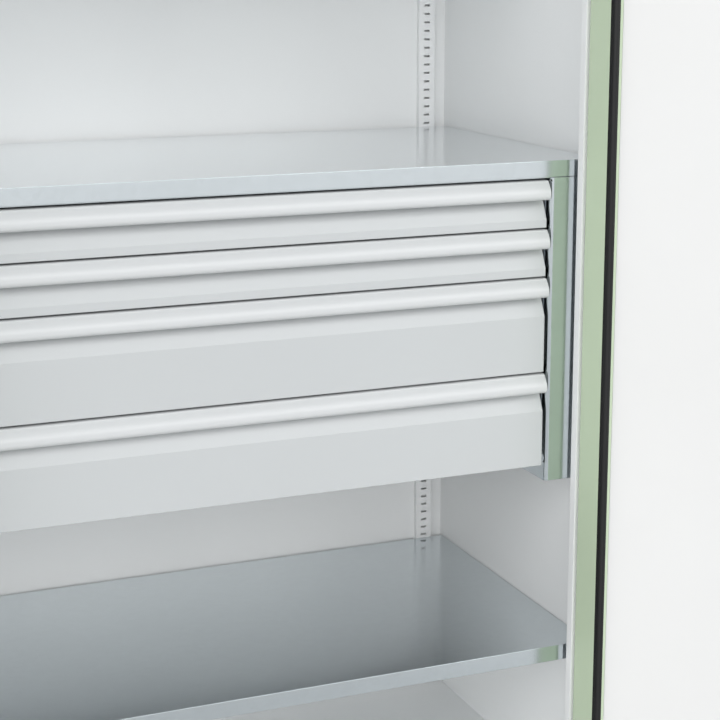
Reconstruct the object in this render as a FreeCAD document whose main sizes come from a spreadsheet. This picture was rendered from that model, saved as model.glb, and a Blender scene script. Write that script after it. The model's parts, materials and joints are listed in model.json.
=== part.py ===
import FreeCAD, Part
import math
import os
import re
import sys
import Sketcher

# Heavy-duty two-door cabinet with a four-drawer block under its upper shelf, doors swung fully open.
# X runs to the right, Y to the back wall, Z up. The origin is the centre of the footprint, on the floor.

doc = FreeCAD.newDocument("cabinet")
sheet = doc.addObject("Spreadsheet::Sheet", "dims")

SIZES = {
    # Carcass
    "cabinet_width": 1100,
    "cabinet_height": 1950,
    "carcass_depth": 587,
    "wall": 1.5,
    "frame_width": 45,
    "frame_return": 15,
    "plinth_height": 60,
    "plinth_inset": 12,
    "plinth_rail": 30,
    "plinth_wall": 2.5,
    "stiffener_width": 60,
    "gusset_size": 75,
    "foot_radius": 18,
    "foot_pad": 6,
    "spindle_radius": 6,
    # Slotted uprights
    "upright_width": 31,
    "upright_depth": 10,
    "upright_wall": 2,
    "upright_inset": 24,
    "front_upright_inset": 8,
    "slot_pitch": 15,
    "slot_length": 10.6,
    "slot_height": 3.3,
    "first_slot": 150,
    "slot_count": 118,
    "front_slot_pitch": 60,
    "front_slot_count": 30,
    # Shelves
    "shelf_depth": 565,
    "shelf_edge": 25,
    "shelf_wall": 1.25,
    "shelf_lip": 14,
    "shelf_side_gap": 1,
    "lower_shelf_top": 400,
    "shelf_spacing": 780,
    "top_shelf_spacing": 480,
    "hook_width": 24,
    "hook_reach": 26,
    "hook_thickness": 3,
    "hook_drop": 28,
    # Drawer block
    "casing_side_space": 86.5,
    "casing_bend": 6,
    "casing_height": 477,
    "casing_wall": 1.5,
    "casing_hook_gap": 1,
    "casing_rear_gap": 24,
    "casing_top_gap": 0.8,
    "drawer_side_gap": 6,
    "first_drawer_drop": 30.4,
    "shallow_pitch": 75,
    "deep_pitch": 150,
    "drawer_gap": 3.75,
    "grip_height": 28.3,
    "grip_top_reach": 3,
    "grip_reach": 12.3,
    "grip_wall": 2,
    "grip_radius": 52,
    "recess_depth": 14,
    "crease_drop": 58.8,
    "front_wall": 1.5,
    "tray_depth": 500,
    "tray_wall": 1.2,
    "tray_bottom_gap": 6,
    "shallow_tray_height": 50,
    "deep_tray_height": 120,
    "runner_height": 36,
    "runner_drop": 44,
    "runner_wall": 1.2,
    "runner_gap": 0.4,
    "member_depth": 4.6,
    # Doors
    "door_gap": 4,
    "door_margin": 10,
    "door_thickness": 58,
    "door_wall": 1.5,
    "door_stand_off": 9,
    "hinge_inset": 21.75,
    "door_lip": 21,
    "skin_gap": 0.3,
    "skin_wall": 1.2,
    "seal_width": 14,
    "seal_gap": 0.3,
    "stiffener_depth": 40,
    "bracket_thickness": 4,
    "bracket_width": 30,
    "bracket_lead": 12,
    "pin_radius": 6,
    "pin_clearance": 0.06,
    "bush_wall": 3,
    "bush_length": 30,
    "strip_width": 32,
    "strip_lap": 14,
    "strip_wall": 2,
    "strip_clearance": 0.5,
    # Lock
    "lock_height": 1050,
    "lock_inset": 60,
    "rod_radius": 5,
    "rod_clearance": 0.5,
    "rod_throw": 9,
    "rod_recess": 1,
    "drive_pin_radius": 2,
    "link_thickness": 4,
    "link_clearance": 0.35,
    "link_wall": 2,
    "link_half_gap": 0.4,
    "cam_wall": 3.5,
    "cam_thickness": 4,
    "shaft_side": 8,
    "lever_length": 120,
    "lever_width": 24,
    "lever_tip_width": 17,
    "lever_tip_radius": 9,
    "lever_shoulder": 1.5,
    "lever_thickness": 10,
    "lever_stand_off": 14,
    "plate_length": 150,
    "plate_width": 44,
    "plate_thickness": 4,
    "guide_width": 26,
    "guide_height": 14,
    "guide_spacing": 500,
}
for row, (alias, value) in enumerate(SIZES.items(), start=1):
    sheet.set(f"A{row}", alias)
    sheet.set(f"B{row}", str(value))
    sheet.setAlias(f"B{row}", alias)
doc.recompute()

# Sums that several pieces share, in the sheet as formulas
DERIVED = {
    "front_plane": "-carcass_depth / 2",
    "back_plane": "carcass_depth / 2",
    "shelf_front": "carcass_depth / 2 - wall - shelf_depth",
    "inner_width": "cabinet_width - 2 * wall",
    "panel_top": "plinth_height + frame_width",
    "upper_shelf_top": "lower_shelf_top + shelf_spacing",
    "top_shelf_top": "lower_shelf_top + shelf_spacing + top_shelf_spacing",
    "hook_space": "front_upright_inset + upright_width / 2 + hook_width / 2",
    "casing_inner_width": "inner_width - 2 * casing_side_space",
    "casing_flange": "casing_side_space - hook_space - casing_hook_gap",
    "drawer_width": "casing_inner_width - 2 * drawer_side_gap",
    "casing_top": "upper_shelf_top - shelf_edge - casing_top_gap",
    "casing_bottom": "casing_top - casing_height",
    "casing_depth": "shelf_depth - casing_rear_gap",
    "tray_front": "shelf_front + recess_depth + front_wall",
    "door_back": "front_plane - door_stand_off",
    "door_front": "door_back - door_thickness",
    "pivot_y": "door_back - door_thickness / 2",
    "pivot_x": "cabinet_width / 2 - hinge_inset",
    "door_edge": "cabinet_width / 2 - 2 * hinge_inset",
    "door_width": "(cabinet_width - door_gap) / 2",
    "door_bottom": "plinth_height + door_margin",
    "door_height": "cabinet_height - plinth_height - 2 * door_margin",
    "seal_depth": "door_stand_off - seal_gap",
    "cavity_y": "door_front + skin_wall",
    "lock_x": "door_edge + door_width - lock_inset",
    "crank_radius": "rod_throw / 2 / sin(45)",
    "cam_radius": "crank_radius + drive_pin_radius + cam_wall",
    "rod_offset": "(crank_radius + rod_throw / 2) / 2",
    "link_half_slot": "drive_pin_radius + link_clearance",
    "shaft_bore": "0.75 * shaft_side + rod_clearance",
    "member_step": "member_depth + runner_gap",
    "tray_width": "casing_inner_width - 2 * (2 * member_step + member_depth)",
}
WORDS = set(SIZES) | set(DERIVED)


def bind(text):
    """The formula with every named size read from the sheet."""
    return re.sub(r"[a-z][a-z_]+", lambda word: "dims." * (word.group(0) in WORDS) + word.group(0), text)


for row, (alias, formula) in enumerate(DERIVED.items(), start=len(SIZES) + 1):
    sheet.set(f"A{row}", alias)
    sheet.set(f"B{row}", "=" + formula)
    sheet.setAlias(f"B{row}", alias)
    doc.recompute()


def number(text):
    """What a formula of named sizes comes to now."""
    value = sheet.evalExpression(bind(text))
    return float(value.Value) if hasattr(value, "Value") else float(value)


pieces = []


def keep(piece, label):
    """Names a finished sub-part and puts it on the list that is written out."""
    piece.Label = label
    pieces.append(piece)
    return piece


def place(piece, x="0", y="0", z="0"):
    for axis, formula in zip("xyz", (x, y, z)):
        piece.setExpression(f"Placement.Base.{axis}", bind(formula))
    return piece


def box(name, x, y, z, length, width, height):
    """A block from its lowest corner and its three sizes, all as formulas."""
    block = doc.addObject("Part::Box", name)
    block.setExpression("Length", bind(length))
    block.setExpression("Width", bind(width))
    block.setExpression("Height", bind(height))
    return place(block, x, y, z)


def rod(name, x, y, z, radius, height, toward=None):
    """A cylinder standing on its lower centre, or lying along toward."""
    post = doc.addObject("Part::Cylinder", name)
    post.setExpression("Radius", bind(radius))
    post.setExpression("Height", bind(height))
    if toward:
        post.Placement.Rotation = FreeCAD.Rotation(FreeCAD.Vector(0, 0, 1), FreeCAD.Vector(*toward))
    return place(post, x, y, z)


def hexagon(name, x, y, z, radius, height):
    """A six-sided bar standing on its lower centre."""
    bar = doc.addObject("Part::Prism", name)
    bar.Polygon = 6
    bar.setExpression("Circumradius", bind(radius))
    bar.setExpression("Height", bind(height))
    return place(bar, x, y, z)


def cut(name, base, *tools):
    """Base with every tool taken away."""
    for count, tool in enumerate(tools):
        last = count == len(tools) - 1
        result = doc.addObject("Part::Cut", name if last else f"{name}_cut_{count}")
        result.Base, result.Tool = base, tool
        base = result
    return base


def fuse(name, *shapes):
    joined = doc.addObject("Part::MultiFuse", name)
    joined.Shapes = list(shapes)
    return joined


def group(name, *shapes):
    """Several separate solids kept as one sub-part."""
    several = doc.addObject("Part::Compound", name)
    several.Links = list(shapes)
    return several


PLANES = {"along_x": "YZ_Plane", "along_y": "XZ_Plane", "along_z": "XY_Plane"}


def curve_end(sketch, index, spot):
    """Which end of a line or arc lies at spot: 1 for its start, 2 for its end."""
    first = sketch.getPoint(index, 1)
    return 1 if math.hypot(first.x - spot[0], first.y - spot[1]) < 1e-6 else 2


def outline(sketch, points):
    """A closed line through points. A point is (x, y), or (x, y, radius, side) when an arc leads to it."""
    spots = [(number(p[0]), number(p[1])) for p in points]
    for i, point in enumerate(points):
        (ax, ay), (bx, by) = spots[i - 1], spots[i]
        start, end = FreeCAD.Vector(ax, ay, 0), FreeCAD.Vector(bx, by, 0)
        if len(point) == 2:
            sketch.addGeometry(Part.LineSegment(start, end), False)
            continue
        radius, side = number(point[2]), point[3]
        chord, middle = end - start, (start + end) / 2
        square = FreeCAD.Vector(-chord.y, chord.x, 0) / chord.Length * side
        centre = middle + square * math.sqrt(radius**2 - (chord.Length / 2) ** 2)
        crown = centre - square * radius
        sketch.addGeometry(Part.Arc(start, crown, end), False)
    count = len(points)
    for i, point in enumerate(points):
        here, after = i, (i + 1) % count
        arc_here, arc_after = len(point) == 4, len(points[after]) == 4
        end_here = curve_end(sketch, here, spots[i])
        start_after = curve_end(sketch, after, spots[i])
        sketch.addConstraint(Sketcher.Constraint("Coincident", here, end_here, after, start_after))
        for axis, formula, line in (("X", point[0], -2), ("Y", point[1], -1)):
            if formula == "0":
                sketch.addConstraint(Sketcher.Constraint("PointOnObject", here, end_here, line))
                continue
            value = number(formula)
            pick = sketch.addConstraint(Sketcher.Constraint(f"Distance{axis}", -1, 1, here, end_here, value))
            sketch.setExpression(f"Constraints[{pick}]", bind(formula))
        if arc_here:
            pick = sketch.addConstraint(Sketcher.Constraint("Radius", here, number(point[2])))
            sketch.setExpression(f"Constraints[{pick}]", bind(point[2]))


def bent(name, direction, points, length, x="0", y="0", z="0"):
    """A folded sheet or rolled section: one closed outline, padded along an axis, placed by its corner."""
    body = doc.addObject("PartDesign::Body", name)
    sketch = body.newObject("Sketcher::SketchObject", f"{name}_outline")
    plane = next(f for f in body.Origin.OriginFeatures if f.Role == PLANES[direction])
    sketch.AttachmentSupport = [(plane, "")]
    sketch.MapMode = "FlatFace"
    outline(sketch, points)
    pad = body.newObject("PartDesign::Pad", f"{name}_pad")
    pad.Profile = sketch
    pad.setExpression("Length", bind(length))
    if direction == "along_y":
        pad.Reversed = True
    body.Tip = pad
    return place(body, x, y, z)


def mirrored(points, width):
    """The same outline seen in a mirror, as wide as before."""
    turned = []
    for across, *rest in points:
        across = f"({width}) - ({across})"
        if len(rest) == 3:
            rest[2] = -rest[2]
        turned.append(("0" if abs(number(across)) < 1e-9 else across, *rest))
    return turned


# Side walls, each folded round into the front frame and its inner return
wall_outline = [
    ("0", "0"),
    ("frame_width", "0"),
    ("frame_width", "carcass_depth"),
    ("frame_width - wall", "carcass_depth"),
    ("frame_width - wall", "wall"),
    ("wall", "wall"),
    ("wall", "frame_return"),
    ("0", "frame_return"),
]
wall_height = "cabinet_height - wall - plinth_height"
keep(
    bent("side_wall_right", "along_z", wall_outline, wall_height,
         "cabinet_width / 2 - frame_width", "front_plane", "plinth_height"),
    "side_wall_right",
)
keep(
    bent("side_wall_left", "along_z", mirrored(wall_outline, "frame_width"), wall_height,
         "-cabinet_width / 2", "front_plane", "plinth_height"),
    "side_wall_left",
)

# Back wall, roof and floor
keep(
    box("back_wall", "-inner_width / 2", "back_plane - wall", "plinth_height", "inner_width", "wall", wall_height),
    "back_wall",
)
keep(
    box("top_panel", "-cabinet_width / 2", "front_plane", "cabinet_height - wall",
        "cabinet_width", "carcass_depth", "wall"),
    "top_panel",
)
rail_outline = [
    ("0", "0"),
    ("frame_return", "0"),
    ("frame_return", "wall"),
    ("wall", "wall"),
    ("wall", "frame_width - wall"),
    ("0", "frame_width - wall"),
]
rail_length = "cabinet_width - 2 * frame_width"
keep(
    bent("top_rail", "along_x", rail_outline, rail_length,
         "frame_width - cabinet_width / 2", "front_plane", "cabinet_height - frame_width"),
    "top_rail",
)
sill_outline = [
    ("0", "0"),
    ("wall", "0"),
    ("wall", "frame_width - wall"),
    ("frame_return", "frame_width - wall"),
    ("frame_return", "frame_width"),
    ("0", "frame_width"),
]
keep(
    bent("bottom_rail", "along_x", sill_outline, rail_length,
         "frame_width - cabinet_width / 2", "front_plane", "plinth_height"),
    "bottom_rail",
)
floor_pan = cut(
    "bottom_panel",
    box("floor_outer", "-inner_width / 2", "front_plane + frame_return", "plinth_height",
        "inner_width", "carcass_depth - frame_return - wall", "frame_width"),
    box("floor_hollow", "wall - inner_width / 2", "front_plane + frame_return + wall", "plinth_height",
        "inner_width - 2 * wall", "carcass_depth - frame_return - 3 * wall", "frame_width - wall"),
)
keep(floor_pan, "bottom_panel")

# Plinth: a channel frame, open inwards, with a box stiffener across its middle and a gusset in each corner
ring_x, ring_y = "cabinet_width / 2 - plinth_inset", "carcass_depth / 2 - plinth_inset"


def ring_box(name, inset, low, height):
    return box(name, f"{inset} - ({ring_x})", f"{inset} - ({ring_y})", low,
               f"2 * ({ring_x}) - 2 * ({inset})", f"2 * ({ring_y}) - 2 * ({inset})", height)


ring = cut(
    "plinth_ring",
    ring_box("plinth_outer", "0", "0", "plinth_height"),
    ring_box("plinth_opening", "plinth_rail", "0", "plinth_height"),
    ring_box("plinth_channel", "plinth_wall", "plinth_wall", "plinth_height - 2 * plinth_wall"),
)
beam = cut(
    "plinth_beam",
    box("beam_outer", "-stiffener_width / 2", f"plinth_rail - ({ring_y})", "0",
        "stiffener_width", f"2 * ({ring_y}) - 2 * plinth_rail", "plinth_height"),
    box("beam_hollow", "plinth_wall - stiffener_width / 2", f"plinth_rail - ({ring_y})", "plinth_wall",
        "stiffener_width - 2 * plinth_wall", f"2 * ({ring_y}) - 2 * plinth_rail",
        "plinth_height - 2 * plinth_wall"),
)
corners = [(sx, sy) for sx in (-1, 1) for sy in (-1, 1)]


def corner_start(sign, reach, size):
    """Where a block of that size starts so that it ends at reach on the side that sign gives."""
    return f"({reach}) - ({size})" if sign > 0 else f"-({reach})"


gussets = [
    box(f"gusset_{i}", corner_start(sx, f"{ring_x} - plinth_wall", "gusset_size"),
        corner_start(sy, f"{ring_y} - plinth_wall", "gusset_size"),
        "plinth_height - 2 * plinth_wall", "gusset_size", "gusset_size", "plinth_wall")
    for i, (sx, sy) in enumerate(corners)
]
keep(fuse("plinth", ring, beam, *gussets), "plinth")

foot_x, foot_y = f"{ring_x} - gusset_size + foot_radius", f"{ring_y} - gusset_size + foot_radius"
feet = [
    fuse(
        f"foot_{i}",
        rod(f"foot_pad_{i}", f"{sx} * ({foot_x})", f"{sy} * ({foot_y})", "0", "foot_radius", "foot_pad"),
        hexagon(f"foot_spindle_{i}", f"{sx} * ({foot_x})", f"{sy} * ({foot_y})", "0", "spindle_radius",
                "plinth_height - 2 * plinth_wall"),
    )
    for i, (sx, sy) in enumerate(corners)
]
keep(group("levelling_feet", *feet), "levelling_feet")


# Uprights: shallow channels with a row of slots at one pitch, at the back wall and behind the front frame
upright_outline = [
    ("0", "0"),
    ("upright_width", "0"),
    ("upright_width", "upright_depth"),
    ("upright_width - upright_wall", "upright_depth"),
    ("upright_width - upright_wall", "upright_wall"),
    ("upright_wall", "upright_wall"),
    ("upright_wall", "upright_depth"),
    ("0", "upright_depth"),
]
front_upright_outline = [
    ("0", "0"),
    ("upright_wall", "0"),
    ("upright_wall", "upright_depth - upright_wall"),
    ("upright_width - upright_wall", "upright_depth - upright_wall"),
    ("upright_width - upright_wall", "0"),
    ("upright_width", "0"),
    ("upright_width", "upright_depth"),
    ("0", "upright_depth"),
]
upright_height = "cabinet_height - wall - panel_top"


def slotted(name, points, x, y, pitch, count):
    """A padded channel whose web is pierced by the slots, as one linear pattern of a pocket."""
    body = bent(name, "along_z", points, upright_height, x, y, "panel_top")
    sketch = body.newObject("Sketcher::SketchObject", f"{name}_slot")
    plane = next(f for f in body.Origin.OriginFeatures if f.Role == "XZ_Plane")
    sketch.AttachmentSupport = [(plane, "")]
    sketch.MapMode = "FlatFace"
    left, low = "(upright_width - slot_length) / 2", "first_slot - panel_top"
    outline(sketch, [
        (left, low),
        (f"{left} + slot_length", low),
        (f"{left} + slot_length", f"{low} + slot_height"),
        (left, f"{low} + slot_height"),
    ])
    pocket = body.newObject("PartDesign::Pocket", f"{name}_pocket")
    pocket.Profile = sketch
    pocket.Type = "ThroughAll"
    pocket.Midplane = True
    rows = body.newObject("PartDesign::LinearPattern", f"{name}_slots")
    rows.Originals = [pocket]
    rows.Direction = (sketch, ["V_Axis"])
    rows.setExpression("Length", bind(f"{pitch} * ({count} - 1)"))
    rows.setExpression("Occurrences", bind(count))
    body.Tip = rows
    return body


rear_y = "back_plane - wall - upright_depth"
front_y = "front_plane + wall"
keep(group(
    "rear_uprights",
    slotted("rear_upright_left", upright_outline, "upright_inset - inner_width / 2", rear_y,
            "slot_pitch", "slot_count"),
    slotted("rear_upright_right", upright_outline, "inner_width / 2 - upright_inset - upright_width", rear_y,
            "slot_pitch", "slot_count"),
), "rear_uprights")
keep(group(
    "front_uprights",
    slotted("front_upright_left", front_upright_outline, "front_upright_inset - inner_width / 2", front_y,
            "front_slot_pitch", "front_slot_count"),
    slotted("front_upright_right", front_upright_outline,
            "inner_width / 2 - front_upright_inset - upright_width", front_y,
            "front_slot_pitch", "front_slot_count"),
), "front_uprights")


# Shelves: folded pans, open below, with a return lip along the front and back edges
def shelf(name, top):
    start_x, width = "shelf_side_gap - inner_width / 2", "inner_width - 2 * shelf_side_gap"
    pan_depth = "shelf_depth - upright_depth"
    outer = box(f"{name}_outer", start_x, "shelf_front", f"{top} - shelf_edge", width, pan_depth, "shelf_edge")
    hollow = box(f"{name}_hollow", f"{start_x} + shelf_wall", "shelf_front + shelf_wall",
                 f"{top} - shelf_edge + shelf_wall", f"{width} - 2 * shelf_wall",
                 f"{pan_depth} - 2 * shelf_wall", "shelf_edge - 2 * shelf_wall")
    window = box(f"{name}_window", f"{start_x} + shelf_wall", "shelf_front + shelf_wall + shelf_lip",
                 f"{top} - shelf_edge", f"{width} - 2 * shelf_wall",
                 f"{pan_depth} - 2 * shelf_wall - 2 * shelf_lip", "shelf_wall")
    keep(cut(name, outer, hollow, window), name)


shelf("lower_shelf", "lower_shelf_top")
shelf("upper_shelf", "upper_shelf_top")
shelf("top_shelf", "top_shelf_top")

# Shelf hooks: an angle on the face of each upright, its ledge under the shelf
def hook(name, sign, rear, top):
    inset = "upright_inset" if rear else "front_upright_inset"
    centre = f"{sign} * (inner_width / 2 - {inset} - upright_width / 2)"
    web = f"({rear_y})" if rear else f"({front_y} + upright_depth)"
    ledge_top = f"{top} - shelf_edge"
    start_x = f"{centre} - hook_width / 2"
    if rear:
        leg = box(f"{name}_leg", start_x, f"{web} - hook_thickness", f"{ledge_top} - hook_drop",
                  "hook_width", "hook_thickness", "hook_drop")
        ledge = box(f"{name}_ledge", start_x, f"{web} - hook_reach", f"{ledge_top} - hook_thickness",
                    "hook_width", "hook_reach", "hook_thickness")
    else:
        leg = box(f"{name}_leg", start_x, web, f"{ledge_top} - hook_drop",
                  "hook_width", "hook_thickness", "hook_drop")
        ledge = box(f"{name}_ledge", start_x, web, f"{ledge_top} - hook_thickness",
                    "hook_width", "hook_reach", "hook_thickness")
    return fuse(name, leg, ledge)


hooks = [
    hook(f"hook_{shelf_name}_{'rear' if rear else 'front'}_{'right' if sign > 0 else 'left'}", sign, rear, top)
    for shelf_name, top in (("low", "lower_shelf_top"), ("mid", "upper_shelf_top"), ("high", "top_shelf_top"))
    for rear in (True, False)
    for sign in (-1, 1)
]
keep(group("shelf_hooks", *hooks), "shelf_hooks")

# Casing of the drawer block, hung by its top sheet under the upper shelf
casing_outline = [
    ("0", "casing_bend"),
    ("casing_bend", "0", "casing_bend", 1),
    ("casing_flange", "0"),
    ("casing_flange", "casing_wall"),
    ("casing_bend", "casing_wall"),
    ("casing_wall", "casing_bend", "casing_bend - casing_wall", -1),
    ("casing_wall", "casing_depth - casing_wall"),
    ("casing_flange / 2", "casing_depth - casing_wall"),
    ("casing_flange / 2", "casing_depth"),
    ("0", "casing_depth"),
]
keep(
    bent("casing_side_right", "along_z", casing_outline, "casing_height",
         "casing_inner_width / 2", "shelf_front", "casing_bottom"),
    "casing_side_right",
)
keep(
    bent("casing_side_left", "along_z", mirrored(casing_outline, "casing_flange"), "casing_height",
         "-casing_inner_width / 2 - casing_flange", "shelf_front", "casing_bottom"),
    "casing_side_left",
)
keep(
    box("casing_top", "-casing_inner_width / 2", "shelf_front + grip_top_reach",
        "upper_shelf_top - shelf_edge - casing_wall",
        "casing_inner_width", "casing_depth - grip_top_reach - casing_wall", "casing_wall"),
    "casing_top",
)
keep(
    box("casing_back", "-casing_inner_width / 2", "shelf_front + casing_depth - casing_wall", "casing_bottom",
        "casing_inner_width", "casing_wall", "casing_height"),
    "casing_back",
)

# Drawers, from the top: two shallow and two deep
drawers = [
    ("1", "0", "shallow_pitch", "shallow_tray_height"),
    ("2", "shallow_pitch", "shallow_pitch", "shallow_tray_height"),
    ("3", "2 * shallow_pitch", "deep_pitch", "deep_tray_height"),
    ("4", "2 * shallow_pitch + deep_pitch", "deep_pitch", "deep_tray_height"),
]
member_heights = {
    "cabinet": "runner_height",
    "middle": "runner_height - 2 * (runner_wall + runner_gap)",
    "drawer": "runner_height - 4 * (runner_wall + runner_gap)",
}
cabinet_members = []


def runner_pair(name, kind, centre_z, step):
    """The left and right members of one kind, step members in from the casing side."""
    height = member_heights[kind]
    low = f"{centre_z} - ({height}) / 2"
    points = [
        ("0", "0"),
        ("member_depth", "0"),
        ("member_depth", height),
        ("0", height),
        ("0", f"{height} - runner_wall"),
        ("member_depth - runner_wall", f"{height} - runner_wall"),
        ("member_depth - runner_wall", "runner_wall"),
        ("0", "runner_wall"),
    ]
    right_x = f"casing_inner_width / 2 - member_depth - {step} * member_step"
    left_x = f"{step} * member_step - casing_inner_width / 2"
    right = bent(f"{name}_right", "along_y", points, "tray_depth", right_x, "tray_front", low)
    left = bent(f"{name}_left", "along_y", mirrored(points, "member_depth"), "tray_depth",
                left_x, "tray_front", low)
    return right, left


for number_name, start, pitch, tray_height in drawers:
    top = f"(upper_shelf_top - first_drawer_drop - ({start}))"
    front_height = f"({pitch} - drawer_gap)"
    bottom = f"({top} - {front_height})"

    # Grip strip: a rolled section, its face crowned, its lower edge free so that fingers reach behind it
    grip_outline = [
        ("recess_depth + grip_reach", "grip_height - grip_wall"),
        ("grip_reach - grip_top_reach + grip_wall", "grip_height - grip_wall"),
        ("grip_wall", "0", "grip_radius", 1),
        ("0", "0"),
        ("grip_reach - grip_top_reach", "grip_height", "grip_radius", -1),
        ("recess_depth + grip_reach", "grip_height"),
    ]
    keep(
        bent(f"grip_strip_{number_name}", "along_x", grip_outline, "drawer_width",
             "-drawer_width / 2", "shelf_front - grip_reach", f"{top} - grip_height"),
        f"grip_strip_{number_name}",
    )

    # Front: upright behind the grip, sloping out to the crease, then upright again, folded back below
    depth = "(recess_depth + front_wall)"
    front_outline = [
        ("recess_depth", f"{front_height} - grip_wall"),
        ("recess_depth", f"{front_height} - grip_height"),
        ("0", f"{front_height} - crease_drop"),
        ("0", "0"),
        (depth, "0"),
        (depth, "front_wall"),
        ("front_wall", "front_wall"),
        ("front_wall", f"{front_height} - crease_drop - front_wall / 4"),
        (depth, f"{front_height} - grip_height - front_wall / 4"),
        (depth, f"{front_height} - grip_wall"),
    ]
    keep(
        bent(f"drawer_front_{number_name}", "along_x", front_outline, "drawer_width",
             "-drawer_width / 2", "shelf_front", bottom),
        f"drawer_front_{number_name}",
    )

    # Tray: a folded pan behind the front, carried by its rails
    tray_x, tray_z = "-tray_width / 2", f"{bottom} + tray_bottom_gap"
    tray = cut(
        f"tray_{number_name}",
        box(f"tray_outer_{number_name}", tray_x, "tray_front", tray_z, "tray_width", "tray_depth", tray_height),
        box(f"tray_hollow_{number_name}", f"{tray_x} + tray_wall", "tray_front + tray_wall",
            f"{tray_z} + tray_wall", "tray_width - 2 * tray_wall", "tray_depth - 2 * tray_wall", tray_height),
    )
    keep(tray, f"tray_{number_name}")

    # Runners: cabinet, middle and drawer members on each side
    centre = f"({top} - runner_drop)"
    cabinet_members += runner_pair(f"cabinet_member_{number_name}", "cabinet", centre, 0)
    keep(
        group(f"middle_slides_{number_name}", *runner_pair(f"middle_member_{number_name}", "middle", centre, 1)),
        f"middle_slides_{number_name}",
    )
    keep(
        group(f"drawer_rails_{number_name}", *runner_pair(f"drawer_member_{number_name}", "drawer", centre, 2)),
        f"drawer_rails_{number_name}",
    )
keep(group("cabinet_runners", *cabinet_members), "cabinet_runners")


# Doors, modelled swung fully open: the inner face looks to the front
def door_x(side, start, width):
    """The low X of something that starts at start from the hinge edge on the given side."""
    return f"door_edge + ({start})" if side > 0 else f"-door_edge - ({start}) - ({width})"


def door_box(name, side, start, width, y, depth, low, height):
    return box(name, door_x(side, start, width), y, f"door_bottom + ({low})", width, depth, height)


for side, word in ((1, "right"), (-1, "left")):
    shell = door_box(f"door_shell_{word}", side, "0", "door_width", "door_front", "door_thickness",
                     "0", "door_height")
    cavity = door_box(f"door_cavity_{word}", side, "door_wall", "door_width - 2 * door_wall",
                      "door_front + door_wall", "door_thickness - 2 * door_wall", "door_wall",
                      "door_height - 2 * door_wall")
    window = door_box(f"door_window_{word}", side, "door_lip", "door_width - 2 * door_lip", "door_front",
                      "door_wall", "door_lip", "door_height - 2 * door_lip")
    bores = rod(f"hinge_bore_{word}", f"{side} * pivot_x", "pivot_y", "door_bottom",
                "pin_radius + pin_clearance + bush_wall", "door_height")
    cutters = [cavity, window, bores]
    if side > 0:
        cutters.append(rod("spindle_bore", "lock_x", "door_back - door_wall", "lock_height",
                           "shaft_bore", "door_wall", (0, 1, 0)))
        cutters.append(rod("upper_rod_bore", "lock_x - rod_offset", "pivot_y",
                           "door_bottom + door_height - door_wall", "rod_radius + rod_clearance", "door_wall"))
        cutters.append(rod("lower_rod_bore", "lock_x + rod_offset", "pivot_y", "door_bottom",
                           "rod_radius + rod_clearance", "door_wall"))
    keep(cut(f"door_outer_{word}", shell, *cutters), f"door_outer_{word}")
    keep(
        door_box(f"door_inner_{word}", side, "door_lip + skin_gap", "door_width - 2 * (door_lip + skin_gap)",
                 "door_front", "skin_wall", "door_lip + skin_gap", "door_height - 2 * (door_lip + skin_gap)"),
        f"door_inner_{word}",
    )
    seal = cut(
        f"door_seal_{word}",
        door_box(f"seal_outer_{word}", side, "0", "door_width", "door_front - seal_depth", "seal_depth",
                 "0", "door_height"),
        door_box(f"seal_window_{word}", side, "seal_width", "door_width - 2 * seal_width",
                 "door_front - seal_depth", "seal_depth", "seal_width", "door_height - 2 * seal_width"),
    )
    keep(seal, f"door_seal_{word}")
    brace = cut(
        f"door_stiffener_{word}",
        door_box(f"brace_outer_{word}", side, "door_width / 2 - stiffener_depth", "2 * stiffener_depth",
                 "cavity_y", "door_thickness - door_wall - skin_wall", "door_lip", "door_height - 2 * door_lip"),
        door_box(f"brace_hollow_{word}", side, "door_width / 2 - stiffener_depth + door_wall",
                 "2 * stiffener_depth - 2 * door_wall", "cavity_y + door_wall",
                 "door_thickness - door_wall - skin_wall", "door_lip", "door_height - 2 * door_lip"),
    )
    keep(brace, f"door_stiffener_{word}")
    bushes = []
    for end, low in (("lower", "0"), ("upper", "door_height - bush_length")):
        outer = rod(f"bush_outer_{word}_{end}", f"{side} * pivot_x", "pivot_y", f"door_bottom + {low}",
                    "pin_radius + pin_clearance + bush_wall", "bush_length")
        bore = rod(f"bush_bore_{word}_{end}", f"{side} * pivot_x", "pivot_y", f"door_bottom + {low}",
                   "pin_radius + pin_clearance", "bush_length")
        bushes.append(cut(f"bush_{word}_{end}", outer, bore))
    keep(group(f"hinge_bushes_{word}", *bushes), f"hinge_bushes_{word}")

# Overlap strip along the free edge of the right door, joggled clear of the left door's face
strip_outline = [
    ("0", "0"),
    ("strip_width - strip_lap", "0"),
    ("strip_width - strip_lap", "strip_clearance"),
    ("strip_width", "strip_clearance"),
    ("strip_width", "strip_clearance + strip_wall"),
    ("strip_width - strip_lap - strip_wall", "strip_clearance + strip_wall"),
    ("strip_width - strip_lap - strip_wall", "strip_wall"),
    ("0", "strip_wall"),
]
keep(
    bent("overlap_strip", "along_z", strip_outline, "door_height",
         "door_edge + door_width - strip_width + strip_lap", "door_back", "door_bottom"),
    "overlap_strip",
)

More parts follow.
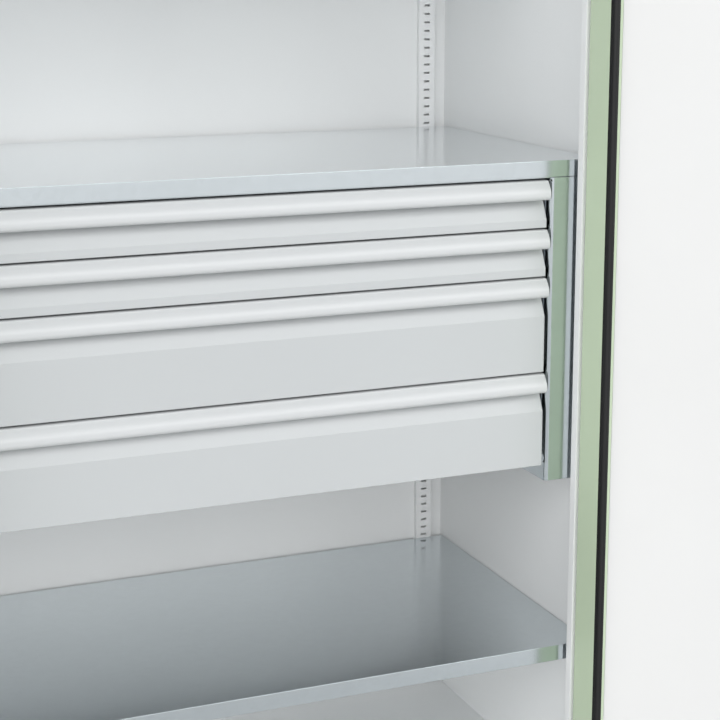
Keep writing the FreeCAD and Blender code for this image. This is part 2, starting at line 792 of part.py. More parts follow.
# Pivot brackets and pins on the front frame, above and below each door, and the keepers for the rods
bracket_reach = "door_stand_off + door_thickness / 2 + bracket_lead"
bracket_gap = "(door_margin - bracket_thickness) / 2"
brackets = []
for side, word in ((1, "right"), (-1, "left")):
    for end in ("lower", "upper"):
        low = (f"plinth_height + {bracket_gap}" if end == "lower"
               else f"cabinet_height - {bracket_gap} - bracket_thickness")
        plate = box(f"bracket_plate_{word}_{end}", f"{side} * pivot_x - bracket_width / 2",
                    f"front_plane - ({bracket_reach})", low, "bracket_width", bracket_reach, "bracket_thickness")
        pin_low = f"{low} + bracket_thickness" if end == "lower" else f"{low} - {bracket_gap} - bush_length / 2"
        pin = rod(f"pin_{word}_{end}", f"{side} * pivot_x", "pivot_y", pin_low, "pin_radius",
                  f"{bracket_gap} + bush_length / 2")
        brackets.append(fuse(f"bracket_{word}_{end}", plate, pin))
for end, sign in (("lower", "-"), ("upper", "+")):
    closed_rod_x = f"2 * pivot_x - lock_x {sign} rod_offset"
    low = (f"plinth_height + {bracket_gap}" if end == "lower"
           else f"cabinet_height - {bracket_gap} - bracket_thickness")
    plate = box(f"keeper_plate_{end}", f"{closed_rod_x} - bracket_width / 2", f"front_plane - ({bracket_reach})",
                low, "bracket_width", bracket_reach, "bracket_thickness")
    hole = rod(f"keeper_hole_{end}", closed_rod_x, "pivot_y", low, "rod_radius + 2 * rod_clearance",
               "bracket_thickness")
    brackets.append(cut(f"keeper_{end}", plate, hole))
keep(group("pivot_brackets", *brackets), "pivot_brackets")

# Lock of the right door. The lever's square spindle turns the cam, and each of the cam's two pins rides in the
# slot of a link: through a quarter turn one pin lifts the upper rod and the other lowers the lower rod
plate = cut(
    "lock_plate",
    box("lock_plate_blank", "lock_x - plate_width / 2", "door_back", "lock_height - plate_length / 2",
        "plate_width", "plate_thickness", "plate_length"),
    rod("lock_plate_bore", "lock_x", "door_back", "lock_height", "shaft_bore", "plate_thickness", (0, 1, 0)),
)
keep(plate, "lock_plate")
shaft_y = "pivot_y + rod_radius + rod_clearance"
spindle = box("lever_spindle", "lock_x - shaft_side / 2", shaft_y, "lock_height - shaft_side / 2", "shaft_side",
              f"door_back + plate_thickness + lever_stand_off - ({shaft_y})", "shaft_side")
lever_outline = [
    ("(lever_width - lever_tip_width) / 2", "lever_tip_width / 2"),
    ("(lever_width + lever_tip_width) / 2", "lever_tip_width / 2", "lever_tip_radius", 1),
    ("lever_width - lever_shoulder", "lever_length"),
    ("lever_shoulder", "lever_length"),
]
lever_bar = bent("lever_bar", "along_y", lever_outline, "lever_thickness", "lock_x - lever_width / 2",
                 "door_back + plate_thickness + lever_stand_off - lever_thickness", "lock_height - lever_length")
lever_hub = rod("lever_hub", "lock_x", "door_back + plate_thickness + rod_clearance", "lock_height",
                "lever_width / 2", "lever_stand_off - rod_clearance", (0, 1, 0))
keep(fuse("lock_lever", spindle, lever_bar, lever_hub), "lock_lever")
cam = cut(
    "cam_plate",
    rod("cam_disc", "lock_x", shaft_y, "lock_height", "cam_radius", "cam_thickness", (0, 1, 0)),
    box("cam_bore", "lock_x - shaft_side / 2", shaft_y, "lock_height - shaft_side / 2", "shaft_side",
        "cam_thickness", "shaft_side"),
)
drive_pins = [
    rod(f"drive_pin_{word}", f"lock_x {sign} rod_throw / 2", "pivot_y - link_thickness / 2",
        f"lock_height {sign} rod_throw / 2", "drive_pin_radius",
        "link_thickness / 2 + rod_radius + rod_clearance", (0, 1, 0))
    for word, sign in (("upper", "-"), ("lower", "+"))
]
keep(fuse("lock_cam", cam, *drive_pins), "lock_cam")
link_width = "crank_radius + link_half_slot + link_wall - link_half_gap"
link_height = "2 * (link_half_slot + link_wall)"
slot_width = "crank_radius - rod_throw / 2 + 2 * link_half_slot"
for word, sign in (("upper", -1), ("lower", 1)):
    link_start = "link_half_gap" if sign > 0 else f"-link_half_gap - ({link_width})"
    slot_start = ("rod_throw / 2 - link_half_slot" if sign > 0
                  else "-crank_radius - link_half_slot")
    link = cut(
        f"link_{word}",
        box(f"link_blank_{word}", f"lock_x + {link_start}", "pivot_y - link_thickness / 2",
            f"lock_height + ({sign}) * rod_throw / 2 - ({link_height}) / 2", link_width, "link_thickness",
            link_height),
        box(f"link_slot_{word}", f"lock_x + {slot_start}", "pivot_y - link_thickness / 2",
            f"lock_height + ({sign}) * rod_throw / 2 - link_half_slot", slot_width, "link_thickness",
            "2 * link_half_slot"),
    )
    inner_end = "rod_throw / 2 - link_half_slot - link_wall / 2"
    rod_length = f"(door_height + door_bottom - rod_recess - lock_height + {inner_end})"
    if sign > 0:
        rod_length = f"(lock_height - door_bottom - rod_recess + {inner_end})"
    bar = rod(f"{word}_rod_bar", f"lock_x + ({sign}) * rod_offset", "pivot_y",
              "door_bottom + rod_recess" if sign > 0 else f"lock_height - ({inner_end})", "rod_radius", rod_length)
    keep(fuse(f"{word}_rod", link, bar), f"{word}_rod")
guides = []
for word, sign, rise in (("upper", "-", "guide_spacing"), ("lower", "+", "-guide_spacing")):
    guide_x = f"lock_x {sign} rod_offset"
    block = box(f"guide_block_{word}", f"{guide_x} - guide_width / 2", "pivot_y - guide_height / 2",
                f"lock_height + ({rise})", "guide_width", "door_back - door_wall - pivot_y + guide_height / 2",
                "guide_height")
    hole = rod(f"guide_hole_{word}", guide_x, "pivot_y", f"lock_height + ({rise})",
               "rod_radius + rod_clearance", "guide_height")
    guides.append(cut(f"guide_{word}", block, hole))
keep(group("rod_guides", *guides), "rod_guides")

doc.recompute()

faults = [o.Name for o in doc.Objects if {"Invalid", "Error"} & set(o.State)]
for piece in pieces:
    shape = piece.Shape
    if shape.isNull() or not shape.isValid() or not shape.Solids:
        faults.append(piece.Label)
if faults:
    sys.exit("These objects failed: " + ", ".join(faults))

os.makedirs("parts", exist_ok=True)
for piece in pieces:
    piece.Shape.exportStep(f"parts/{piece.Label}.step")
print(len(pieces), "sub-parts written")
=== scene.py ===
import json
import math

import bmesh
import bpy
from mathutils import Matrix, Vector


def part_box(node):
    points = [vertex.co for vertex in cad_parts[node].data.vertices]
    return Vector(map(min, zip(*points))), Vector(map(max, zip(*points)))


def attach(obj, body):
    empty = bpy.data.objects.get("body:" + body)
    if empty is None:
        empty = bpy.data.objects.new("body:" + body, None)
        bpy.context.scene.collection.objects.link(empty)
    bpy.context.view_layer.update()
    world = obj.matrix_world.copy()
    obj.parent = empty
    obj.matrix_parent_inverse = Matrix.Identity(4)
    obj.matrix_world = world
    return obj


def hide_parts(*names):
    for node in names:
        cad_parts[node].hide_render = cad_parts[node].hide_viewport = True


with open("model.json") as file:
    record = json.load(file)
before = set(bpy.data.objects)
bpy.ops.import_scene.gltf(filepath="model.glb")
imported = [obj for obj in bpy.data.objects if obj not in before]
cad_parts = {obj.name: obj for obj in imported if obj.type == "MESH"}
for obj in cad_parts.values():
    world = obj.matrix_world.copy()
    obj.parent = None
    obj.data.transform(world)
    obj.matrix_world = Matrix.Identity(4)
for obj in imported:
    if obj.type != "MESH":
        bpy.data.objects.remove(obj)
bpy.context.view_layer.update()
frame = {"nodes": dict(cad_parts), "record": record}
scene = bpy.context.scene

# Lengths are in metres unless a name says otherwise, and points are in the shared frame.
# Camera, at eye height in front of the open left door. A picture is PHOTO_SIDE pixels square
PHOTO_SIDE = 720
FOCAL_PIXELS = 1715.0
SENSOR_MM = 36
CAMERA_PLACE = (-0.7873, -2.5446, 1.4810)
CAMERA_YAW = math.radians(22.42)
CAMERA_PITCH = math.radians(10.91)
CAMERA_SHIFT_Y = -0.10
CAMERA_NEAR, CAMERA_FAR = 0.05, 60


def make_camera():
    data = bpy.data.cameras.new("photo_camera")
    data.sensor_width = SENSOR_MM
    data.lens = FOCAL_PIXELS / PHOTO_SIDE * SENSOR_MM
    data.shift_y = CAMERA_SHIFT_Y
    data.clip_start = CAMERA_NEAR
    data.clip_end = CAMERA_FAR
    camera = bpy.data.objects.new("photo_camera", data)
    camera.location = CAMERA_PLACE
    camera.rotation_euler = (math.pi / 2 - CAMERA_PITCH, 0, -CAMERA_YAW)
    scene.collection.objects.link(camera)
    scene.camera = camera


# Finishes, by the name of their slot
FINISHES = {}
METAL_GRAIN = 0.0006
PAINT_GRAIN = 0.0011
RUBBER_GRAIN = 0.0015
GRAIN_DEPTH = 0.00004
GRAIN_STRENGTH = 0.35
PATCH_DETAIL = 3
GRAIN_DETAIL = 2
EDGE_ROUNDING = 0.0012
EDGE_SAMPLES = 4


def linear(*levels):
    """The shader's colour for a colour given as it shows, 0 to 255."""
    shown = [v / 255 for v in levels]
    return tuple(v / 12.92 if v <= 0.04045 else ((v + 0.055) / 1.055) ** 2.4 for v in shown) + (1,)


def scaled(colour, share):
    """A colour made lighter or darker by share, its alpha kept at 1."""
    return tuple(min(1, c * share) for c in colour[:3]) + (1,)


def material(name, colour, roughness, grain, metallic=0.0, coat=0.0, spread=0.03, patch_size=0.35,
             roughness_spread=0.06):
    """A finish whose tone and gloss drift over patches, with a fine grain and edges that look rounded."""
    made = bpy.data.materials.new(name)
    made.use_nodes = True
    tree = made.node_tree
    shader = tree.nodes["Principled BSDF"]
    shader.inputs["Metallic"].default_value = metallic
    shader.inputs["Coat Weight"].default_value = coat
    shader.inputs["Coat Roughness"].default_value = roughness
    place = tree.nodes.new("ShaderNodeTexCoord")

    patches = tree.nodes.new("ShaderNodeTexNoise")
    patches.inputs["Scale"].default_value = 1 / patch_size
    patches.inputs["Detail"].default_value = PATCH_DETAIL
    tree.links.new(place.outputs["Object"], patches.inputs["Vector"])
    tone = tree.nodes.new("ShaderNodeMix")
    tone.data_type = "RGBA"
    tone.inputs["A"].default_value = scaled(colour, 1 - spread)
    tone.inputs["B"].default_value = scaled(colour, 1 + spread)
    tree.links.new(patches.outputs["Fac"], tone.inputs["Factor"])
    tree.links.new(tone.outputs["Result"], shader.inputs["Base Color"])

    gloss = tree.nodes.new("ShaderNodeMapRange")
    gloss.inputs["To Min"].default_value = roughness - roughness_spread / 2
    gloss.inputs["To Max"].default_value = roughness + roughness_spread / 2
    tree.links.new(patches.outputs["Fac"], gloss.inputs["Value"])
    tree.links.new(gloss.outputs["Result"], shader.inputs["Roughness"])

    fine = tree.nodes.new("ShaderNodeTexNoise")
    fine.inputs["Scale"].default_value = 1 / grain
    fine.inputs["Detail"].default_value = GRAIN_DETAIL
    tree.links.new(place.outputs["Object"], fine.inputs["Vector"])
    rounded = tree.nodes.new("ShaderNodeBevel")
    rounded.samples = EDGE_SAMPLES
    rounded.inputs["Radius"].default_value = EDGE_ROUNDING
    bump = tree.nodes.new("ShaderNodeBump")
    bump.inputs["Strength"].default_value = GRAIN_STRENGTH
    bump.inputs["Distance"].default_value = GRAIN_DEPTH
    tree.links.new(fine.outputs["Fac"], bump.inputs["Height"])
    tree.links.new(rounded.outputs["Normal"], bump.inputs["Normal"])
    tree.links.new(bump.outputs["Normal"], shader.inputs["Normal"])
    FINISHES[name] = made


def add_crystals(name, size, spread):
    """Gives a metal finish the faint patchwork of zinc crystals: cells that differ a little in tone."""
    tree = FINISHES[name].node_tree
    shader = tree.nodes["Principled BSDF"]
    place = tree.nodes["Texture Coordinate"]
    crystal = tree.nodes.new("ShaderNodeTexVoronoi")
    crystal.inputs["Scale"].default_value = 1 / size
    tree.links.new(place.outputs["Object"], crystal.inputs["Vector"])
    split = tree.nodes.new("ShaderNodeSeparateColor")
    tree.links.new(crystal.outputs["Color"], split.inputs["Color"])
    level = tree.nodes.new("ShaderNodeMapRange")
    level.inputs["To Min"].default_value = 1 - spread
    tree.links.new(split.outputs["Red"], level.inputs["Value"])
    under = shader.inputs["Base Color"].links[0].from_socket
    shade = tree.nodes.new("ShaderNodeMix")
    shade.data_type = "RGBA"
    shade.blend_type = "MULTIPLY"
    shade.inputs["Factor"].default_value = 1
    tree.links.new(under, shade.inputs["A"])
    tree.links.new(level.outputs["Result"], shade.inputs["B"])
    tree.links.new(shade.outputs["Result"], shader.inputs["Base Color"])


def make_finishes():
    material("light_grey_paint", linear(245, 246, 246), 0.42, PAINT_GRAIN)
    # frame_paint is the light grey paint darkened: painted shade on the front rails
    material("frame_paint", linear(219, 219, 216), 0.42, PAINT_GRAIN)
    material("dark_grey_paint", linear(110, 113, 115), 0.5, PAINT_GRAIN)
    material("drawer_paint", linear(187, 190, 191), 0.31, PAINT_GRAIN, roughness_spread=0.03)
    # grip_paint is the drawer paint made lighter: a painted highlight on the grips' crowns, which share the
    # fronts' paint
    material("grip_paint", linear(199, 201, 202), 0.31, PAINT_GRAIN, roughness_spread=0.03)
    material("green_paint", linear(203, 219, 190), 0.4, PAINT_GRAIN)
    material("white_paint", linear(217, 217, 216), 0.45, PAINT_GRAIN)
    material("lever_paint", linear(40, 41, 43), 0.42, PAINT_GRAIN)
    material("seal_rubber", linear(14, 14, 15), 0.65, RUBBER_GRAIN)
    material("lock_plastic", linear(40, 41, 43), 0.5, RUBBER_GRAIN)
    material("galvanised", linear(206, 214, 218), 0.16, METAL_GRAIN, metallic=1.0, coat=1.0, spread=0.02,
             patch_size=0.12, roughness_spread=0.05)
    material("zinc_plated", linear(176, 184, 190), 0.3, METAL_GRAIN, metallic=1.0, patch_size=0.03)
    add_crystals("galvanised", 0.011, 0.03)
    add_crystals("zinc_plated", 0.003, 0.04)


def dress_nodes():
    """Every carried-over node gets the finish of its slot in the record; the front rails get frame_paint, the
    light grey paint darkened as painted shade.
    """
    slots = {s["node"]: s["material_slot"] for s in frame["record"]["subparts"]}
    # the front rails take the darkened copy, which paints shade on them
    slots.update(top_rail="frame_paint", bottom_rail="frame_paint")
    for name, node in frame["nodes"].items():
        node.data.materials.clear()
        node.data.materials.append(FINISHES[slots[name]])


# Stage: a pale floor and an even, faint sky that shows as a white backdrop
FLOOR_SIZE = 14
FLOOR_HEIGHT = -0.0005
FLOOR_COLOUR = linear(238, 238, 238)
FLOOR_ROUGHNESS = 0.7
FLOOR_GLOW = 0.4
SKY_COLOUR = (0.93, 0.97, 1, 1)
SKY_LEVEL = 0.3
WHITE = (1, 1, 1, 1)


def ray_is(tree, *kinds):
    """1 for rays of one of these kinds, as the Light Path node names them, and 0 for all others."""
    path = tree.nodes.new("ShaderNodeLightPath")
    found = path.outputs[kinds[0]]
    for kind in kinds[1:]:
        either = tree.nodes.new("ShaderNodeMath")
        either.operation = "MAXIMUM"
        tree.links.new(found, either.inputs[0])
        tree.links.new(path.outputs[kind], either.inputs[1])
        found = either.outputs["Value"]
    return found


def make_floor():
    """A pale floor that looks a little lighter to the camera than it is, and keeps the cabinet's shadow."""
    bpy.ops.mesh.primitive_plane_add(size=FLOOR_SIZE, location=(0, 0, FLOOR_HEIGHT))
    floor = bpy.context.object
    floor.name = "floor"
    made = bpy.data.materials.new("floor")
    made.use_nodes = True
    tree = made.node_tree
    shader = tree.nodes["Principled BSDF"]
    shader.inputs["Base Color"].default_value = FLOOR_COLOUR
    shader.inputs["Roughness"].default_value = FLOOR_ROUGHNESS
    shader.inputs["Emission Color"].default_value = WHITE
    glow = tree.nodes.new("ShaderNodeMath")
    glow.operation = "MULTIPLY"
    glow.inputs[1].default_value = FLOOR_GLOW
    tree.links.new(ray_is(tree, "Is Camera Ray"), glow.inputs[0])
    tree.links.new(glow.outputs["Value"], shader.inputs["Emission Strength"])
    floor.data.materials.append(made)


def make_sky():
    """A faint sky for the light. Straight, mirrored and refracted views of it are white."""
    world = bpy.data.worlds.new("sky")
    scene.world = world
    world.use_nodes = True
    tree = world.node_tree
    sky = tree.nodes["Background"]
    sky.inputs["Color"].default_value = SKY_COLOUR
    sky.inputs["Strength"].default_value = SKY_LEVEL
    white = tree.nodes.new("ShaderNodeBackground")
    white.inputs["Color"].default_value = WHITE
    choose = tree.nodes.new("ShaderNodeMixShader")
    viewed = ray_is(tree, "Is Camera Ray", "Is Glossy Ray", "Is Transmission Ray")
    tree.links.new(viewed, choose.inputs[0])
    tree.links.new(sky.outputs[0], choose.inputs[1])
    tree.links.new(white.outputs[0], choose.inputs[2])
    tree.links.new(choose.outputs[0], tree.nodes["World Output"].inputs[0])


def make_lamp(name, toward, width, strength, sheen=False):
    """A far lamp, width degrees wide, that shines along toward. It shows in gloss only where sheen is set."""
    data = bpy.data.lights.new(name, "SUN")
    data.angle = math.radians(width)
    data.energy = strength
    made = bpy.data.objects.new(name, data)
    made.rotation_euler = Vector(toward).to_track_quat("-Z", "Y").to_euler()
    made.visible_glossy = sheen
    scene.collection.objects.link(made)


def make_lamps():
    """Two soft lamps in front, one left, one right whose sheen lies on the drawers, and one behind."""
    make_lamp("high_front_lamp", (0.22, 1, -0.62), 40, 0.82)
    make_lamp("left_lamp", (1, 0.62, -0.14), 40, 1.36)
    make_lamp("low_front_lamp", (0.1, 1, -0.08), 16, 0.5)
    make_lamp("right_lamp", (-0.45, 0.87, -0.42), 40, 0.95, sheen=True)
    make_lamp("rear_lamp", (-0.35, -1, -0.45), 40, 1.7)


# Tools for the pieces
SMOOTH_UP_TO = math.radians(40)


def made_piece(name, mesh, slot, body):
    """A finished piece: smooth up to a fold of SMOOTH_UP_TO, its finish by slot, riding on its body."""
    mesh.normal_update()
    data = bpy.data.meshes.new(name)
    mesh.to_mesh(data)
    mesh.free()
    piece = bpy.data.objects.new(name, data)
    scene.collection.objects.link(piece)
    data.shade_smooth()
    data.set_sharp_from_angle(angle=SMOOTH_UP_TO)
    data.materials.append(FINISHES[slot])
    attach(piece, body)
    return piece


def arc(centre, radius, start, end, count):
    """Points of an arc in the plane, its angles in degrees."""
    angles = [math.radians(start + (end - start) * i / (count - 1)) for i in range(count)]
    return [(centre[0] + radius * math.cos(a), centre[1] + radius * math.sin(a)) for a in angles]


def curve(start, lead, follow, end, count):
    """Points of a cubic curve between start and end."""
    points = []
    for i in range(count):
        t = i / (count - 1)
        shares = ((1 - t) ** 3, 3 * t * (1 - t) ** 2, 3 * t * t * (1 - t), t ** 3)
        guides = (start, lead, follow, end)
        points.append(tuple(sum(s * g[axis] for s, g in zip(shares, guides)) for axis in (0, 1)))
    return points


def sheet_section(path, thickness):
    """The closed outline of a sheet bent along path, the sheet lying to the right of it."""
    inner = []
    for i, (x, y) in enumerate(path):
        before = path[max(i - 1, 0)]
        after = path[min(i + 1, len(path) - 1)]
        along = Vector((after[0] - before[0], after[1] - before[1])).normalized()
        inner.append((x + along.y * thickness, y - along.x * thickness))
    return path + inner[::-1]


def ring_strip(mesh, low, high, profile, up, depth):
    """A profile led round a rectangle that spans x and up. Its points are (inset, place along depth)."""
    across, up, depth = Vector((1, 0, 0)), Vector(up), Vector(depth)
    rows = []
    for inset, far in profile:
        corners = ((low[0] + inset, low[1] + inset), (high[0] - inset, low[1] + inset),
                   (high[0] - inset, high[1] - inset), (low[0] + inset, high[1] - inset))
        rows.append([mesh.verts.new(across * x + up * z + depth * far) for x, z in corners])
    for i, row in enumerate(rows):
        after = rows[(i + 1) % len(rows)]
        for j in range(4):
            k = (j + 1) % 4
            mesh.faces.new((row[j], row[k], after[k], after[j]))
    bmesh.ops.recalc_face_normals(mesh, faces=mesh.faces)


def turned(mesh, place, axis, profile, segments=28):
    """A profile turned round an axis. Its points are (radius, height), with a 6 behind them on a hexagon."""
    axis = Vector(axis).normalized()
    side = axis.orthogonal().normalized()
    other = axis.cross(side)
    rows = []
    for radius, height, *corners in profile:
        if radius == 0:
            rows.append([mesh.verts.new(Vector(place) + axis * height)])
            continue
        row = []
        for i in range(segments):
            angle = 2 * math.pi * i / segments
            reach = radius
            if corners:
                step = 2 * math.pi / corners[0]
                reach = radius * math.cos(step / 2) / math.cos(angle % step - step / 2)
            spot = side * math.cos(angle) * reach + other * math.sin(angle) * reach + axis * height
            row.append(mesh.verts.new(Vector(place) + spot))
        rows.append(row)
    for row, after in zip(rows, rows[1:]):
        for i in range(segments):
            k = (i + 1) % segments
            if len(row) == 1:
                mesh.faces.new((row[0], after[k], after[i]))
            elif len(after) == 1:
                mesh.faces.new((row[i], row[k], after[0]))
            else:
                mesh.faces.new((row[i], row[k], after[k], after[i]))
    bmesh.ops.recalc_face_normals(mesh, faces=mesh.faces)


# Door seals
SEAL_WIDTH = 0.014
SEAL_FOOT_THICKNESS = 0.0018
SEAL_FOOT_INSET = 0.0003
SEAL_BULB_INSET = 0.0012
SEAL_NECK = 0.0006
SEAL_SHOULDER = 0.0032
SEAL_SHOULDER_POINTS = 7
SEAL_GROOVE_HALF = 0.0006
SEAL_GROOVE_DEPTH = 0.0004


def make_seal(side):
    """The door's seal: a flat foot and a bulb with rounded shoulders and a groove, mitred at the corners."""
    low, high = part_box(f"door_seal_{side}")
    front, back = low[1], high[1]
    foot_front = back - SEAL_FOOT_THICKNESS
    shoulder = (SEAL_BULB_INSET + SEAL_SHOULDER, front + SEAL_SHOULDER)
    middle = SEAL_WIDTH / 2
    half = [(SEAL_FOOT_INSET, back), (SEAL_FOOT_INSET, foot_front)]
    half += [(SEAL_BULB_INSET, foot_front - SEAL_NECK)]
    half += arc(shoulder, SEAL_SHOULDER, 180, 270, SEAL_SHOULDER_POINTS)
    half += [(middle - SEAL_GROOVE_HALF, front)]
    profile = half + [(middle, front + SEAL_GROOVE_DEPTH)]
    profile += [(SEAL_WIDTH - x, y) for x, y in reversed(half)]
    mesh = bmesh.new()
    ring_strip(mesh, (low[0], low[2]), (high[0], high[2]), profile, up=(0, 0, 1), depth=(0, 1, 0))
    piece = made_piece(f"seal_{side}", mesh, "seal_rubber", f"door_{side}")
    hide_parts(f"door_seal_{side}")


# Rivets of the drawer casing, as profiles of (radius, height)
CASING_BEND = 0.006
RIVET_DROP = 0.0042
RIVET_RING = ((0.0027, -0.0004), (0.0027, 0.0003), (0.0024, 0.0006), (0.0018, 0.0006), (0.0015, 0.0003),
              (0.0015, -0.0004))
# A dark disc set in each rivet's hole: painted shade where the hollow is dark
RIVET_SHADE_DISC = ((0, 0.0001), (0.0016, 0.0001), (0.0016, -0.0004), (0, -0.0004))


def make_casing_rivets():
    """The small hollow rivet at the upper end of each casing side's front bend, with a dark disc in its hole
    as painted shade.
    """
    bend_inset = CASING_BEND * (1 - math.sqrt(0.5))
    for side, sign in (("right", 1), ("left", -1)):
        low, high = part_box(f"casing_side_{side}")
        inner = low[0] if sign > 0 else high[0]
        axis = (-sign, -1, 0)
        place = (inner + sign * bend_inset, low[1] + bend_inset, high[2] - RIVET_DROP)
        mesh = bmesh.new()
        turned(mesh, place, axis, RIVET_RING)
        made_piece(f"casing_rivet_{side}", mesh, "galvanised", "cabinet")
        # a dark plastic disc in the hole, as painted shade
        mesh = bmesh.new()
        turned(mesh, place, axis, RIVET_SHADE_DISC)
        made_piece(f"casing_rivet_shade_disc_{side}", mesh, "lock_plastic", "cabinet")


# Grip strips of the drawers. The ends of their arcs are in degrees
GRIP_SHEET = 0.0015
GRIP_TOP_GAP = 0.0005
GRIP_BOTTOM_GAP = 0.0015
GRIP_BULGE = 0.0093
GRIP_NOSE = 0.0020
GRIP_NOSE_END = 165
GRIP_NOSE_POINTS = 6
GRIP_CROWN_POINTS = 12
GRIP_CURL = 0.0062
GRIP_CURL_END = 305
GRIP_CURL_POINTS = 12
GRIP_DROP = 0.0020
GRIP_REACH = 0.0060
GRIP_BROW_LEAD = (-0.0045, -0.0050)
GRIP_LEDGE_STEP = 0.004


def grip_path(front, back, bottom, top):
    """The outer line of a grip's sheet, from the drawer front over the crown to the curled lower edge."""
    nose = (front + GRIP_BULGE + GRIP_NOSE, top - GRIP_NOSE)
    belly = (front, bottom + GRIP_CURL + GRIP_DROP)
    path = [(back, top), (back - GRIP_LEDGE_STEP, top), (nose[0] + GRIP_LEDGE_STEP, top)]
    path += arc(nose, GRIP_NOSE, 90, GRIP_NOSE_END, GRIP_NOSE_POINTS)
    brow = path[-1]
    lead = (brow[0] + GRIP_BROW_LEAD[0], brow[1] + GRIP_BROW_LEAD[1])
    path += curve(brow, lead, (belly[0], belly[1] + GRIP_REACH), belly, GRIP_CROWN_POINTS)[1:]
    curl = (front + GRIP_CURL, bottom + GRIP_CURL)
    path += arc(curl, GRIP_CURL, 180, GRIP_CURL_END, GRIP_CURL_POINTS)
    return path


def make_grip(number):
    """A rolled grip strip: a crowned face, a round lower edge curled under, open behind for the fingers."""
    low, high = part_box(f"grip_strip_{number}")
    path = grip_path(low[1], high[1], low[2] + GRIP_BOTTOM_GAP, high[2] - GRIP_TOP_GAP)
    section = sheet_section(path, GRIP_SHEET)
    count = len(section)
    mesh = bmesh.new()
    ends = [[mesh.verts.new((x, y, z)) for y, z in section] for x in (low[0], high[0])]
    for i in range(count):
        k = (i + 1) % count
        mesh.faces.new((ends[0][i], ends[0][k], ends[1][k], ends[1][i]))
    for end in ends:
        for i in range(len(path) - 1):
            mesh.faces.new((end[i], end[i + 1], end[count - 2 - i], end[count - 1 - i]))
    bmesh.ops.recalc_face_normals(mesh, faces=mesh.faces)
    # its finish is the lightened drawer paint, painted light on the crown
    piece = made_piece(f"grip_{number}", mesh, "grip_paint", f"drawer_{number}")
    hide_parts(f"grip_strip_{number}")


# Caps of the hinge pins, as a profile of (radius, height)
PIVOT_CAP = ((0.0052, -0.0002), (0.0052, 0.0004), (0.0046, 0.0010), (0.0030, 0.0015), (0.0012, 0.0017),
             (0, 0.0017))


def make_pivot_caps(side):
    """A domed cap on the end of each hinge pin, above the upper brackets and under the lower ones."""
    low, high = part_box("pivot_brackets")
    bush_low, bush_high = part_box(f"hinge_bushes_{side}")
    x = (bush_low[0] + bush_high[0]) / 2
    y = (bush_low[1] + bush_high[1]) / 2
    mesh = bmesh.new()
    for z, up in ((high[2], 1), (low[2], -1)):
        turned(mesh, (x, y, z), (0, 0, up), PIVOT_CAP)
    made_piece(f"pivot_caps_{side}", mesh, "zinc_plated", "cabinet")


# Hems of the drawer trays
HEM_RADIUS = 0.0013
HEM_INSET = 0.0006
HEM_POINTS = 12


def make_tray_hem(number):
    """The rolled hem along the upper edge of a tray."""
    low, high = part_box(f"tray_{number}")
    profile = arc((HEM_INSET, high[2]), HEM_RADIUS, -90, 270, HEM_POINTS + 1)[:-1]
    mesh = bmesh.new()
    ring_strip(mesh, (low[0], low[1]), (high[0], high[1]), profile, up=(0, 1, 0), depth=(0, 0, 1))
    made_piece(f"tray_hem_{number}", mesh, "drawer_paint", f"drawer_{number}")


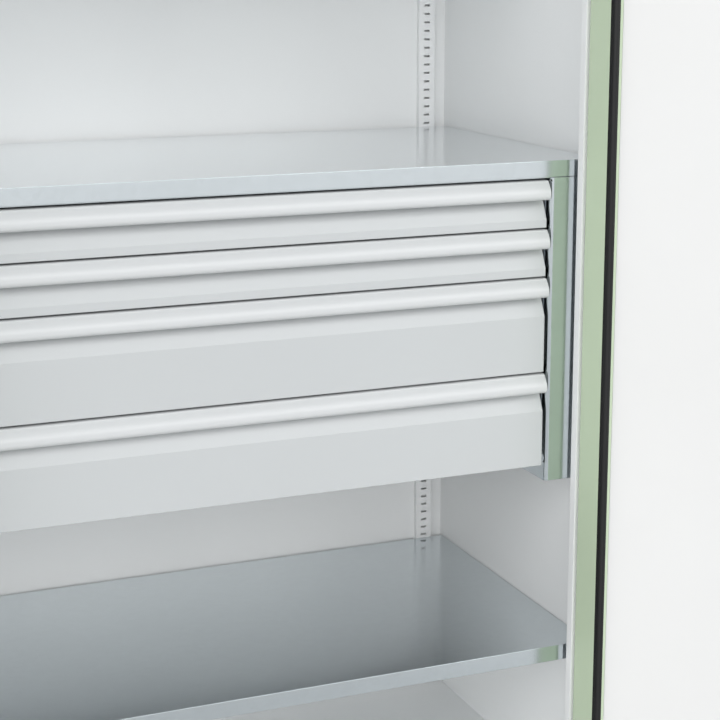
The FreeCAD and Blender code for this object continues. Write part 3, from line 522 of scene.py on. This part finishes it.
# Lock details. The barrel's profile is of (radius, height)
BARREL = ((0.0092, -0.0004), (0.0092, 0.0008), (0.0086, 0.0014), (0.0072, 0.0014), (0.0069, 0.0008),
          (0.0066, 0.0008), (0.0063, 0.0012), (0, 0.0012))
BARREL_FACE = 0.0012
BARREL_SEGMENTS = 40
KEY_SLOT_HALF = (0.0007, 0.0005, 0.0038)
KEY_SLOT_BEVEL = 0.0002
SCREW_RADIUS = 0.0042
SCREW_HEIGHT = 0.0022
SCREW_SINK = 0.0001
SCREW_DOME_ANGLES = (0, 0.3, 0.6, 0.9, 1.15)
SOCKET_RADIUS = 0.46 * SCREW_RADIUS
SOCKET = ((1.18 * SOCKET_RADIUS, 0.97 * SCREW_HEIGHT), (SOCKET_RADIUS, 0.9 * SCREW_HEIGHT, 6),
          (SOCKET_RADIUS, 0.25 * SCREW_HEIGHT, 6), (0, 0.2 * SCREW_HEIGHT))
SCREW_INSET_X = 0.009
SCREW_INSET_Z = 0.010


def make_lock_barrel():
    """The lock barrel in the hub of the lever, with a dark bar on its face as painted shade for the key slot.
    """
    low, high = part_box("lock_lever")
    hub_radius = (high[0] - low[0]) / 2
    x, y, z = low[0] + hub_radius, high[1], high[2] - hub_radius
    mesh = bmesh.new()
    turned(mesh, (x, y, z), (0, 1, 0), BARREL, BARREL_SEGMENTS)
    made_piece("lock_barrel", mesh, "zinc_plated", "lever")
    # the key slot is a dark plastic bar on the barrel face, painted shade for the keyway
    mesh = bmesh.new()
    bmesh.ops.create_cube(mesh, size=2)
    bmesh.ops.scale(mesh, vec=KEY_SLOT_HALF, verts=mesh.verts)
    bmesh.ops.translate(mesh, vec=(x, y + BARREL_FACE, z), verts=mesh.verts)
    bmesh.ops.bevel(mesh, geom=mesh.edges, offset=KEY_SLOT_BEVEL, segments=2, affect="EDGES")
    made_piece("lock_key_slot_shade", mesh, "lock_plastic", "lever")


def make_plate_screws():
    """The four domed screws of the lock plate, each with a hexagon socket."""
    low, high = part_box("lock_plate")
    dome = [(SCREW_RADIUS * math.cos(a), SCREW_HEIGHT * math.sin(a)) for a in SCREW_DOME_ANGLES]
    mesh = bmesh.new()
    for x in (low[0] + SCREW_INSET_X, high[0] - SCREW_INSET_X):
        for z in (low[2] + SCREW_INSET_Z, high[2] - SCREW_INSET_Z):
            turned(mesh, (x, high[1] - SCREW_SINK, z), (0, 1, 0), (*dome, *SOCKET))
    made_piece("lock_plate_screws", mesh, "zinc_plated", "door_right")


make_camera()
make_finishes()
dress_nodes()
for door in ("right", "left"):
    make_seal(door)
make_casing_rivets()
for drawer in "1234":
    make_grip(drawer)
for door in ("right", "left"):
    make_pivot_caps(door)
for drawer in "1234":
    make_tray_hem(drawer)
make_lock_barrel()
make_plate_screws()
make_floor()
make_sky()
make_lamps()
scene.view_settings.view_transform = "Standard"

bpy.context.view_layer.update()
